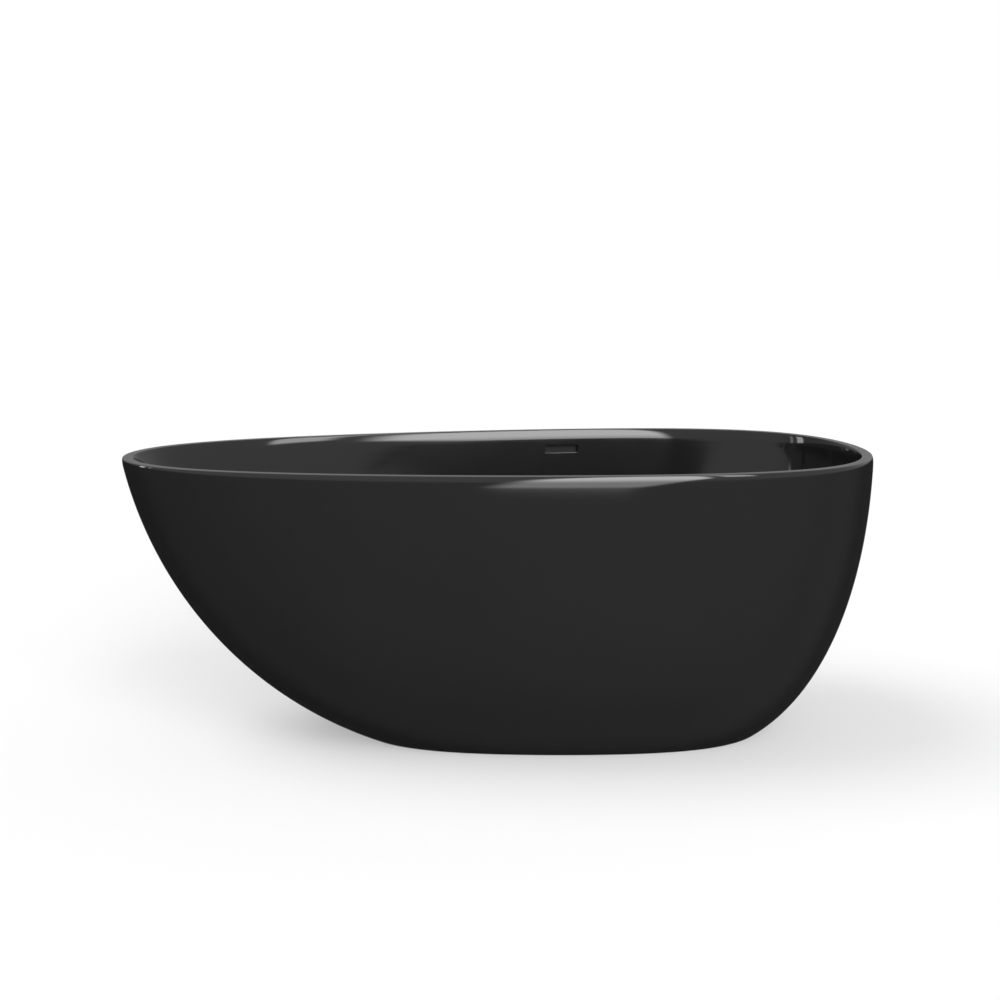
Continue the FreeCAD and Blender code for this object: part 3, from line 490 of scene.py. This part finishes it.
def build_basin():
    """The basin's skin, from the drain up the inside, over the rim and down the back.

    The marks give the rows at the slot's two levels in each skin, and where the back starts.
    """
    rows, marks = [], {}
    base = columns(cavity[0])
    centre = circle_like(base, DRAIN_HOLE, FLOOR_LEVEL)
    for share in np.linspace(0, 1, FLOOR_ROWS + 1)[:-1] ** FLOOR_CROWD:
        rows.append(centre + (base - centre) * share)
    crown_low = HIGH - CROWN_TALL
    side = FLOOR_LEVEL + (crown_low - FLOOR_LEVEL) * np.linspace(0, 1, WALL_ROWS)[:-1] ** WALL_CROWD
    for level in levels_fix(list(side), (SLOT_LOW, SLOT_HIGH)):
        if level in (SLOT_LOW, SLOT_HIGH):
            marks["in", level] = len(rows)
        rows.append(base if level == FLOOR_LEVEL else columns(at_height(cavity, level)))
    round_floor_edge(rows)
    late = CROWN_DEEP * (1 - CIRCLE_SHARE)
    edge = (late - RIM_WIDE, CROWN_DEEP - RIM_WIDE)
    rows += [columns(line) for line in crown(cavity, edge, CROWN_ROWS)]
    rows += [columns(ring(OUTER[-1], HIGH, out)) for out in RIM_OUTS]
    rows += [columns(line) for line in crown(outside, (-late, -CROWN_DEEP), CROWN_ROWS)[::-1]]
    rows += [columns(at_height(outside, level)) for level in (*LIP_LEVELS, LIP_LEVEL)]
    marks["back"] = len(rows)
    rows += [columns(at_height(lining, level)) for level in
             (LIP_LEVEL, LINING_LEVEL, HIGH - RIM_THICK)]
    edge = columns(at_height(bowl, HIGH - RIM_THICK))
    rows.append((rows[-1] + edge) / 2)
    low = FLOOR_LEVEL - BASIN_WALL
    back = low + (HIGH - RIM_THICK - low) * np.linspace(1, 0, BACK_ROWS) ** WALL_CROWD
    under = columns(bowl[0])
    for level in levels_fix(list(back), (SLOT_HIGH, SLOT_LOW)):
        if level in (SLOT_LOW, SLOT_HIGH):
            marks["out", level] = len(rows)
        rows.append(under if level <= low else columns(at_height(bowl, level)))
    centre = circle_like(under, DRAIN_HOLE, low)
    for share in np.linspace(1, 0, UNDER_ROWS)[1:]:
        rows.append(centre + (under - centre) * share)
    verts, faces = loft(rows)
    return verts, faces, marks


def levels_fix(values, kept):
    """The levels, with the one nearest to each kept level moved onto it."""
    for k in kept:
        values[min(range(len(values)), key=lambda i: abs(values[i] - k))] = k
    return values


def cut_slot(faces, marks):
    """Opens the overflow slot through both skins, and gives its lowest row, highest row and
    the step between rows in each skin."""
    first, last = SLOT_COLUMNS
    gone, slot_rows = set(), []
    for side in ("in", "out"):
        low, high = marks[side, SLOT_LOW], marks[side, SLOT_HIGH]
        slot_rows.append((low, high, 1 if high > low else -1))
        for r in range(min(low, high), max(low, high)):
            gone.update(range(r * COLUMNS + first, r * COLUMNS + last))
    return [f for i, f in enumerate(faces) if i not in gone], slot_rows


def slot_sides(faces, slot_rows):
    """The faces with the slot's four sides, which join one skin's opening to the other's."""
    (ilow, ihigh, istep), (olow, ohigh, ostep) = slot_rows
    first, last = SLOT_COLUMNS
    for irow, orow in ((ilow, olow), (ihigh, ohigh)):
        for c in range(first, last):
            faces.append((irow * COLUMNS + c, irow * COLUMNS + c + 1,
                          orow * COLUMNS + c + 1, orow * COLUMNS + c))
    for c in (first, last):
        inner = [r * COLUMNS + c for r in range(ilow, ihigh + istep, istep)]
        outer = [r * COLUMNS + c for r in range(olow, ohigh + ostep, ostep)]
        faces.append(tuple(inner + outer[::-1]))
    return faces


def soften_slot(obj):
    """Rounds the slot's edges, as the moulding's are."""
    bm = bmesh.new()
    bm.from_mesh(obj.data)
    edges = [
        e for e in bm.edges
        if e.calc_face_angle(0.0) > math.radians(50)
        and all(SLOT_LEFT - 0.005 < v.co.x < SLOT_RIGHT + 0.005 and v.co.y > 0
                and SLOT_LOW - 0.001 < v.co.z < SLOT_HIGH + 0.001 for v in e.verts)
    ]
    bmesh.ops.bevel(bm, geom=edges, offset=SLOT_EDGE, segments=3, profile=0.5, affect="EDGES")
    for face in bm.faces:
        face.smooth = True
    bm.to_mesh(obj.data)
    bm.free()


basin_verts, basin_faces, basin_marks = build_basin()
basin_faces = slot_sides(*cut_slot(basin_faces, basin_marks))
basin = new_object("tub_basin", basin_verts, basin_faces, "tub", "gloss_black_acrylic",
                   ["basin_shell"], back_from=(basin_marks["back"] + 1) * COLUMNS)
soften_slot(basin)

# ------------------------------------------------------------------ skirt
def build_skirt():
    """The skirt's skin, from its top down the outside, under its flange and up the inside.

    Also gives the row at which the inside starts.
    """
    rows = []
    heights = FOOT_ROUND + (SKIRT_TOP - FOOT_ROUND) * np.linspace(1, 0, SKIRT_ROWS) ** SKIRT_CROWD
    for level in heights:
        rows.append(columns(at_height(outside, level)))
    for a in (-30, -60, -90):
        a = math.radians(a)
        rows.append(columns(ring(OUTER[0], FOOT_ROUND + FOOT_ROUND * math.sin(a),
                                 -FOOT_ROUND + FOOT_ROUND * math.cos(a))))
    rows += [columns(ring(OUTER[0], 0.0, o)) for o in (-0.01, -0.02, -FLANGE_WIDE)]
    inside = len(rows)
    rows.append(columns(at_height(outer_rings(-FLANGE_WIDE), FLANGE_THICK)))
    inner = FLANGE_THICK + (SKIRT_TOP - FLANGE_THICK) * np.linspace(0, 1, LINING_ROWS) ** LINING_CROWD
    rows += [columns(at_height(lining, level)) for level in inner]
    return *loft(rows), inside


skirt_verts, skirt_faces, skirt_inside = build_skirt()
new_object("tub_skirt", skirt_verts, skirt_faces, "tub", "gloss_black_acrylic", ["outer_skirt"],
           back_from=skirt_inside * COLUMNS)

# ------------------------------------------------------------------ turned and threaded pieces
def spun(rows, turns=48, capped=False):
    """A closed skin from rows of (radius, height); radius may be a function of the angle."""
    verts = []
    for rad, level in rows:
        for c in range(turns):
            a = TAU * c / turns
            r = rad(a) if callable(rad) else rad
            verts.append((r * math.cos(a), r * math.sin(a), level))
    return verts, ring_faces(len(rows), turns, capped)


def hexagon(circum, limit=1e9):
    """The radius of a hexagon at each angle, cut off by a round chamfer."""
    flat = circum * math.cos(math.radians(30))

    def rad(a):
        return min(flat / math.cos(math.radians((math.degrees(a) % 60) - 30)), limit)
    return rad


def moved(verts, x, y):
    return [(a + x, b + y, c) for a, b, c in verts]


def joined(pieces):
    """Several (verts, faces) meshes as one."""
    verts, faces = [], []
    for more_verts, more_faces in pieces:
        start = len(verts)
        verts += [tuple(v) for v in more_verts]
        faces += [tuple(i + start for i in face) for face in more_faces]
    return verts, faces


def threaded(low, high, rad, pitch, depth, steps=6, fade=0.0015):
    """Rows of a screw thread, run out at both ends."""
    count = round((high - low) / pitch * steps)

    def row(level):
        ends = min(1.0, (level - low) / fade, (high - level) / fade)

        def radius(a):
            share = (level / pitch - a / TAU) % 1.0
            ridge = abs(2 * share - 1)
            return rad - depth * (1 - ends * min(1.0, max(0.0, 1.25 * ridge - 0.1)))
        return radius
    return [(row(low + (high - low) * i / count), low + (high - low) * i / count)
            for i in range(count + 1)]


def hex_nut(circum, bore, low, high):
    """A nut with chamfered corners and a countersunk bore."""
    flat = circum * math.cos(math.radians(30))
    step, wide = NUT_STEP, bore + NUT_SINK
    return spun([
        (bore, low + NUT_SINK), (wide, low), (flat * 0.97, low),
        (hexagon(circum, flat * 1.03), low + step), (hexagon(circum, flat * 1.10), low + 2.2 * step),
        (hexagon(circum), low + 3.4 * step), (hexagon(circum), high - 3.4 * step),
        (hexagon(circum, flat * 1.10), high - 2.2 * step), (hexagon(circum, flat * 1.03), high - step),
        (flat * 0.97, high), (wide, high), (bore, high - NUT_SINK),
    ])


def middle(node):
    """A node's middle across, and its lowest and highest level."""
    low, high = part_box(node)
    return (low[0] + high[0]) / 2, (low[1] + high[1]) / 2, low[2], high[2]


def stud_rows(low, high):
    """A levelling stud's profile: a round foot, a shank, a hexagonal collar and a thread."""
    small, chamfer = hexagon(COLLAR_RAD, 0.0075), hexagon(COLLAR_RAD, 0.0080)
    full = hexagon(COLLAR_RAD)
    rows = [(CENTRE, low), (0.0038, low), (0.0044, low + 0.0004), (SHANK_RAD, low + 0.0010),
            (SHANK_RAD, COLLAR_LOW), (small, COLLAR_LOW), (chamfer, COLLAR_LOW + 0.0006),
            (full, COLLAR_LOW + 0.0012), (full, COLLAR_HIGH - 0.0012),
            (chamfer, COLLAR_HIGH - 0.0006), (small, COLLAR_HIGH), (SHANK_RAD, COLLAR_HIGH)]
    rows += threaded(COLLAR_HIGH + 0.0006, high - 0.0008, STUD_RAD, THREAD_PITCH, THREAD_DEEP)
    return rows + [(0.0036, high - 0.0001), (CENTRE, high)]


def pad_rows():
    """A levelling pad's profile: ribs underneath, a rounded edge and a socket for the stud."""
    rows = [(CENTRE, 0.0008)]
    for k in range(1, 5):
        rib = 0.004 * k
        rows += [(rib - 0.0014, 0.0008), (rib - 0.0009, 0.0), (rib + 0.0009, 0.0),
                 (rib + 0.0014, 0.0008)]
    return rows + [
        (0.0180, 0.0), (0.0188, 0.0001), (0.0196, 0.0007), (0.0200, 0.0018),
        (0.0200, 0.0052), (0.0196, 0.0062), (0.0186, 0.0068), (0.0170, 0.0070),
        (0.0116, 0.0070), (0.0106, 0.0073), (0.0101, 0.0082), (0.0099, 0.0118),
        (0.0096, 0.0126), (0.0089, 0.0130), (0.0056, 0.0130), (0.00515, 0.0127),
        (0.00505, 0.0120), (0.00505, 0.0040), (0.0048, 0.0037), (CENTRE, 0.0037),
    ]


def build_feet():
    for number in FEET:
        stud, pad = f"levelling_stud_{number}", f"levelling_pad_{number}"
        x, y, low, high = middle(f"foot_stud_{number}")
        verts, faces = spun(stud_rows(low, high), 24, capped=True)
        obj = new_object(stud, moved(verts, x, y), faces, stud, "zinc_hardware",
                         [f"foot_stud_{number}"], 50)
        obj.data.materials.append(MATERIALS["zinc"])
        x, y = middle(f"foot_pad_{number}")[:2]
        verts, faces = spun(pad_rows(), 48)
        obj = new_object(pad, moved(verts, x, y), faces, pad, "foot_rubber",
                         [f"foot_pad_{number}"], 50)
        obj.data.materials.append(MATERIALS["rubber"])


def build_nuts():
    for node, piece in (("foot_weld_nuts", "weld_nuts"), ("foot_lock_nuts", "lock_nuts")):
        low, high = middle(node)[2:]
        nuts = []
        for number in FEET:
            x, y = middle(f"foot_stud_{number}")[:2]
            verts, faces = hex_nut(NUT_RAD, NUT_BORE, low, high)
            nuts.append((moved(verts, x, y), faces))
        obj = new_object(piece, *joined(nuts), "tub", "zinc_hardware", [node], 25)
        obj.data.materials.append(MATERIALS["zinc"])


def build_hose():
    """The corrugated hose between the overflow box and the drain body."""
    curve = bpy.data.curves.new("hose_line", "CURVE")
    curve.dimensions = "3D"
    curve.resolution_u = 48
    spline = curve.splines.new("NURBS")
    spline.points.add(len(HOSE_ROUTE) - 1)
    for point, at in zip(spline.points, HOSE_ROUTE):
        point.co = (*at, 1.0)
    spline.order_u = 3
    spline.use_endpoint_u = True
    holder = bpy.data.objects.new("hose_line", curve)
    line = bpy.data.meshes.new_from_object(holder)
    path = np.array([v.co[:] for v in line.vertices])
    bpy.data.objects.remove(holder)
    bpy.data.meshes.remove(line)
    steps = np.linalg.norm(np.diff(path, axis=0), axis=1)
    along = np.append(0, np.cumsum(steps))
    length = along[-1]
    count = round(length / HOSE_STEP)
    places = np.linspace(0, length, count + 1)
    points = np.stack([np.interp(places, along, path[:, k]) for k in range(3)], axis=1)
    way = np.gradient(points, axis=0)
    way /= np.linalg.norm(way, axis=1)[:, None]
    side = np.array([1.0, 0.0, 0.0])
    rows = []
    angles = np.arange(HOSE_SIDES) * TAU / HOSE_SIDES

    def tube(indices, radius_at):
        for i in indices:
            up = np.cross(way[i], side)
            up /= np.linalg.norm(up)
            rad = radius_at(places[i])
            rows.append(points[i] + rad * (np.outer(np.cos(angles), side) + np.outer(np.sin(angles), up)))

    def outside_rad(at):
        if min(at, length - at) < HOSE_CUFF:
            return HOSE_RAD
        return HOSE_RAD - HOSE_WAVE + HOSE_WAVE * math.cos(TAU * at / HOSE_PITCH)

    tube(range(count + 1), outside_rad)
    tube(range(count, -1, -8), lambda at: HOSE_BORE)
    verts, faces = loft(rows)
    obj = new_object("overflow_hose_corrugated", verts, faces, "tub", "hose_plastic",
                     ["overflow_hose"], 60)
    obj.data.materials.append(MATERIALS["hose"])


def build_spring():
    """The plug's coil spring, wound from its foot on the cartridge up to the plug, and on no body."""
    low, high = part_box("plug_spring")
    x, y = middle("plug_spring")[:2]
    wire, turns, steps, sides = SPRING_WIRE, SPRING_TURNS, 40, 12
    coil = (high[0] - low[0]) / 2 - wire
    rise = high[2] - low[2] - 2 * wire
    rows = []
    for i in range(turns * steps + 1):
        a = TAU * i / steps
        out = Vector((math.cos(a), math.sin(a), 0.0))
        way = Vector((-coil * out.y, coil * out.x, rise / (TAU * turns))).normalized()
        up = out.cross(way)
        mid = Vector((x, y, low[2] + wire + rise * i / (turns * steps))) + coil * out
        rows.append([mid + wire * (math.cos(b) * out + math.sin(b) * up)
                     for b in (TAU * k / sides for k in range(sides))])
    verts, faces = loft(rows, capped=True)
    obj = new_object("plug_spring_coil", verts, faces, None, "stainless", ["plug_spring"], 50)
    obj.data.materials.append(MATERIALS["stainless"])
    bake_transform(obj)


build_feet()
build_nuts()
build_hose()
build_spring()
finish_nodes()

# ------------------------------------------------------------------ floor, light, camera
def floor():
    """A plain pale floor, which isn't part of the object."""
    mesh = bpy.data.meshes.new("floor")
    size = FLOOR_HALF
    mesh.from_pydata([(-size, -size, 0), (size, -size, 0), (size, size, 0), (-size, size, 0)], [],
                     [(0, 1, 2, 3)])
    obj = bpy.data.objects.new("floor", mesh)
    bpy.context.scene.collection.objects.link(obj)
    mat, _, shader, _ = material("floor_white")
    shader.inputs["Base Color"].default_value = (FLOOR_TONE, FLOOR_TONE, FLOOR_TONE, 1)
    shader.inputs["Roughness"].default_value = 0.9
    shader.inputs["Specular IOR Level"].default_value = 0.0
    shader.inputs["Emission Color"].default_value = (1, 1, 1, 1)
    shader.inputs["Emission Strength"].default_value = FLOOR_GLOW
    mesh.materials.append(mat)
    obj.visible_glossy = False


def soft_sun(way, strength, wide):
    """A very wide, soft light from one side that shows in no reflection."""
    lamp = bpy.data.lights.new("soft_sun", "SUN")
    lamp.energy, lamp.angle = strength, math.radians(wide)
    obj = bpy.data.objects.new("soft_sun", lamp)
    bpy.context.scene.collection.objects.link(obj)
    obj.visible_glossy = False
    turn = Vector(way).normalized().to_track_quat("-Z", "Y")
    obj.matrix_world = turn.to_matrix().to_4x4()


def world():
    """A white room to the camera; in reflections, soft walls, big windows and small ones."""
    made = bpy.data.worlds.new("studio")
    made.use_nodes = True
    bpy.context.scene.world = made
    nodes = Nodes(made.node_tree)
    way = nodes.add("ShaderNodeTexCoord").outputs["Generated"]
    axes = nodes.add("ShaderNodeSeparateXYZ", {"Vector": way})
    x, y, z = (axes.outputs[k] for k in "XYZ")

    def ease(value, low, high):
        node = nodes.add("ShaderNodeMapRange", {"Value": value, "From Min": low, "From Max": high})
        node.interpolation_type = "SMOOTHSTEP"
        return node.outputs["Result"]

    def product(*terms):
        total = terms[0]
        for term in terms[1:]:
            total = nodes.math("MULTIPLY", total, term)
        return total

    forward = nodes.math("MULTIPLY_ADD", y, -0.5, 0.5)
    lower = nodes.ramp(forward, [((k + 1) / 2, (g, g, g)) for k, g in LOWER_TONES])
    lower = nodes.add("ShaderNodeSeparateColor", {"Color": lower}).outputs["Red"]
    lower = product(lower, nodes.math("MULTIPLY_ADD", x, 0.3, 1.0))
    behind = nodes.math("MULTIPLY_ADD", x, -0.45, y)
    upper = nodes.math("MULTIPLY_ADD", ease(behind, 0.1, 0.9), -BACK_DIM * UPPER_TONE, UPPER_TONE)
    share = ease(z, -0.05, 0.04)
    light = nodes.math("ADD", product(upper, share),
                       product(lower, nodes.math("SUBTRACT", 1.0, share)))
    # the big windows, in the slopes of the ray sideways and upwards
    front = nodes.math("MAXIMUM", nodes.math("MULTIPLY", y, -1.0), 1e-4)
    u, v = nodes.math("DIVIDE", x, front), nodes.math("DIVIDE", z, front)
    ahead = nodes.math("LESS_THAN", y, -0.02)
    for left, lean_left, right, lean_right, end, low, high, dark, bright, soft in WINDOWS:
        from_left = nodes.math("SUBTRACT", u, nodes.math("MULTIPLY_ADD", v, lean_left, left))
        stop = nodes.math("MINIMUM", nodes.math("MULTIPLY_ADD", v, lean_right, right), end)
        from_right = nodes.math("SUBTRACT", stop, u)
        power = nodes.math("MULTIPLY_ADD", ease(v, -0.05, 0.18), bright - dark, dark)
        shape = product(ahead, ease(from_left, -soft, soft), ease(from_right, -soft, soft),
                        ease(v, low - 0.05, low + 0.05),
                        ease(nodes.math("SUBTRACT", high, v), -0.1, 0.1), power)
        light = nodes.math("ADD", light, shape)
    # small windows at the sides, by heading and height in radians
    heading = nodes.math("ARCTAN2", x, nodes.math("MULTIPLY", y, -1.0))
    lift = nodes.math("ARCSINE", z)
    for turn, half, low, high, power, soft in SMALL_WINDOWS:
        off = nodes.math("ABSOLUTE", nodes.math("SUBTRACT", heading, math.radians(turn)))
        shape = product(ease(nodes.math("SUBTRACT", math.radians(half), off), -soft, soft),
                        ease(nodes.math("SUBTRACT", lift, math.radians(low)), -soft, soft),
                        ease(nodes.math("SUBTRACT", math.radians(high), lift), -soft, soft), power)
        light = nodes.math("ADD", light, shape)
    seen = nodes.add("ShaderNodeBackground", {"Color": (1, 1, 1, 1), "Strength": 1.0})
    room = nodes.add("ShaderNodeBackground", {"Color": (1, 1, 1, 1), "Strength": light})
    path = nodes.add("ShaderNodeLightPath").outputs["Is Camera Ray"]
    mix = nodes.add("ShaderNodeMixShader", {0: path, 1: room.outputs[0], 2: seen.outputs[0]})
    nodes.add("ShaderNodeOutputWorld", {"Surface": mix.outputs[0]})


def camera():
    """The camera, at the height and turn from which the tub is seen."""
    data = bpy.data.cameras.new("camera")
    data.sensor_width = 36.0
    data.lens = CAMERA_LENS
    obj = bpy.data.objects.new("camera", data)
    bpy.context.scene.collection.objects.link(obj)
    way = Vector(CAMERA_WAY).normalized()
    obj.matrix_world = (Matrix.Translation(CAMERA_AT)
                        @ way.to_track_quat("-Z", "Y").to_matrix().to_4x4())
    bpy.context.scene.camera = obj


floor()
world()
camera()
soft_sun(SUN_WAY, SUN_STRENGTH, SUN_DEGREES)
bpy.context.scene.view_settings.view_transform = "Standard"
bpy.context.scene.view_settings.look = "None"
